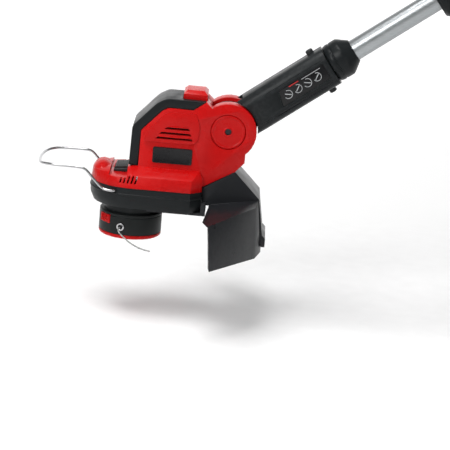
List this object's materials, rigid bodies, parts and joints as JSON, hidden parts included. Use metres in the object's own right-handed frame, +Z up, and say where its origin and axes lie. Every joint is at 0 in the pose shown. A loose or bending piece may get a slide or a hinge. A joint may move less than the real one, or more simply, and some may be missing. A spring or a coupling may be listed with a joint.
{
  "type": "string trimmer",
  "caption": "Cordless string trimmer with tilting, turning head, wire plant guard, rear hood, telescopic shaft, loop front handle and battery rear handle.",
  "frame": {"origin": "middle of the rear grip, where the rear hand holds the trimmer", "axes": "+X towards the handle end and -X towards the head in plan, +Y across the head along its tilt pivot, +Z up with the head level and the shaft 37 degrees above level"},
  "size_m": [1.1367, 0.266, 0.8333],
  "materials": {
    "red_plastic": "satin moulded red",
    "black_plastic": "fine-grained moulded black",
    "grey_plastic": "moulded dark grey",
    "soft_grip": "soft overmoulded grip",
    "steel": "bright plated steel",
    "spring_steel": "bright spring wire",
    "aluminium": "satin anodised",
    "nylon_line": "translucent nylon",
    "label_film": "plain dark film",
    "lead_rubber": "black cable sheath",
    "contact_brass": "plated contacts",
    "circuit_board": "lacquered board"
  },
  "bodies": {
    "handle": {"handle_shell_left": "red_plastic", "handle_shell_right": "red_plastic", "switch_body": "grey_plastic", "trigger_spring": "spring_steel", "terminal_block": "contact_brass", "control_board": "circuit_board", "upper_tube": "aluminium", "clamp_body": "black_plastic", "front_clamp": "black_plastic", "front_bolt": "steel"},
    "trigger": {"trigger": "black_plastic"},
    "safety_button": {"safety_button": "black_plastic"},
    "battery": {"battery_case": "black_plastic", "cell_pack": "aluminium"},
    "battery_latch": {"battery_latch": "red_plastic"},
    "front_handle": {"front_handle": "soft_grip"},
    "front_knob": {"front_knob": "red_plastic"},
    "telescope_sleeve": {"telescope_sleeve": "black_plastic"},
    "lower_tube": {"lower_tube": "aluminium", "tube_collar": "black_plastic", "power_lead": "lead_rubber"},
    "adapter": {"adapter_shell_left": "black_plastic", "adapter_shell_right": "black_plastic", "tube_bush_outer": "grey_plastic", "tube_bush_inner": "grey_plastic"},
    "release_pin_top": {"release_pin_top": "grey_plastic"},
    "release_pin_bottom": {"release_pin_bottom": "grey_plastic"},
    "head": {"head_shell_left": "red_plastic", "head_shell_right": "red_plastic", "arch_band": "black_plastic", "under_cover": "black_plastic", "tilt_spring": "spring_steel", "pivot_cap_left": "red_plastic", "pivot_cap_right": "red_plastic", "pivot_bolt": "steel", "pivot_nut": "steel", "label_plate_left": "label_film", "label_plate_right": "label_film", "motor": "steel", "guard_hood": "black_plastic", "line_cutter": "steel"},
    "tilt_button": {"tilt_button": "red_plastic"},
    "nose_button": {"nose_button": "grey_plastic"},
    "guard_wire": {"guard_wire": "steel"},
    "spool": {"motor_shaft": "steel", "spool_cup": "black_plastic", "spool_cover": "red_plastic", "eyelet_near": "steel", "eyelet_far": "steel", "bump_spring": "spring_steel", "cutting_line": "nylon_line"},
    "reel": {"spool_reel": "grey_plastic", "line_winding": "nylon_line", "bump_knob": "black_plastic"},
    "latch_tab_front": {"latch_tab_front": "red_plastic"},
    "latch_tab_rear": {"latch_tab_rear": "red_plastic"}
  },
  "joints": [
    {"name": "trigger_pull", "type": "slide", "parent": "handle", "child": "trigger", "axis": [-0.6018, 0, 0.7986], "range_m": [0, 0.005], "stiffness_N_per_m": 700, "springref_m": -0.004, "deforming": ["trigger_spring"]},
    {"name": "safety_press", "type": "slide", "parent": "handle", "child": "safety_button", "axis": [0.6018, 0, -0.7986], "range_m": [0, 0.003], "stiffness_N_per_m": 800, "springref_m": -0.003},
    {"name": "battery_slide", "type": "slide", "parent": "handle", "child": "battery", "axis": [0.7986, 0, 0.6018], "range_m": [0, 0.12]},
    {"name": "battery_latch_press", "type": "slide", "parent": "battery", "child": "battery_latch", "axis": [-0.7986, 0, -0.6018], "range_m": [0, 0.003], "stiffness_N_per_m": 800, "springref_m": -0.003},
    {"name": "front_handle_tilt", "type": "hinge", "parent": "handle", "child": "front_handle", "pos_m": [-0.27676, 0, -0.19603], "axis": [0, 1, 0], "range_deg": [-30, 30]},
    {"name": "front_knob_turn", "type": "hinge", "parent": "handle", "child": "front_knob", "pos_m": [-0.27676, -0.026, -0.19603], "axis": [0, 1, 0], "range_deg": [0, 360]},
    {"name": "sleeve_turn", "type": "hinge", "parent": "handle", "child": "telescope_sleeve", "pos_m": [-0.44756, 0, -0.36982], "axis": [0.7986, 0, 0.6018], "range_deg": [0, 60]},
    {"name": "telescope_slide", "type": "slide", "parent": "handle", "child": "lower_tube", "axis": [-0.7986, 0, -0.6018], "range_m": [0, 0.2]},
    {"name": "head_rotation", "type": "hinge", "parent": "lower_tube", "child": "adapter", "pos_m": [-0.59052, 0, -0.47754], "axis": [0.7986, 0, 0.6018], "range_deg": [0, 180]},
    {"name": "release_pin_top_press", "type": "slide", "parent": "adapter", "child": "release_pin_top", "axis": [0.6018, 0, -0.7986], "range_m": [0, 0.0025], "stiffness_N_per_m": 800, "springref_m": -0.003},
    {"name": "release_pin_bottom_press", "type": "slide", "parent": "adapter", "child": "release_pin_bottom", "axis": [-0.6018, 0, 0.7986], "range_m": [0, 0.0025], "stiffness_N_per_m": 800, "springref_m": -0.003},
    {"name": "head_tilt", "type": "hinge", "parent": "adapter", "child": "head", "pos_m": [-0.70233, 0, -0.5618], "axis": [0, -1, 0], "range_deg": [-15, 45]},
    {"name": "tilt_button_press", "type": "slide", "parent": "head", "child": "tilt_button", "axis": [0, 0, -1], "range_m": [0, 0.004], "stiffness_N_per_m": 900, "springref_m": -0.003, "deforming": ["tilt_spring"]},
    {"name": "nose_button_press", "type": "slide", "parent": "head", "child": "nose_button", "axis": [0, 0, -1], "range_m": [0, 0.003], "stiffness_N_per_m": 800, "springref_m": -0.003},
    {"name": "guard_wire_fold", "type": "hinge", "parent": "head", "child": "guard_wire", "pos_m": [-0.82833, 0, -0.6383], "axis": [0, 1, 0], "range_deg": [0, 75]},
    {"name": "spool_spin", "type": "hinge", "parent": "head", "child": "spool", "pos_m": [-0.80933, 0, -0.6818], "axis": [0, 0, 1], "continuous": true},
    {"name": "bump_press", "type": "slide", "parent": "spool", "child": "reel", "axis": [0, 0, 1], "range_m": [0, 0.004], "stiffness_N_per_m": 900, "springref_m": -0.004, "deforming": ["bump_spring"]},
    {"name": "latch_tab_front_press", "type": "slide", "parent": "spool", "child": "latch_tab_front", "axis": [0.7771, 0.6293, 0], "range_m": [0, 0.002], "stiffness_N_per_m": 900, "springref_m": -0.003},
    {"name": "latch_tab_rear_press", "type": "slide", "parent": "spool", "child": "latch_tab_rear", "axis": [-0.7771, -0.6293, 0], "range_m": [0, 0.002], "stiffness_N_per_m": 900, "springref_m": -0.003}
  ]
}
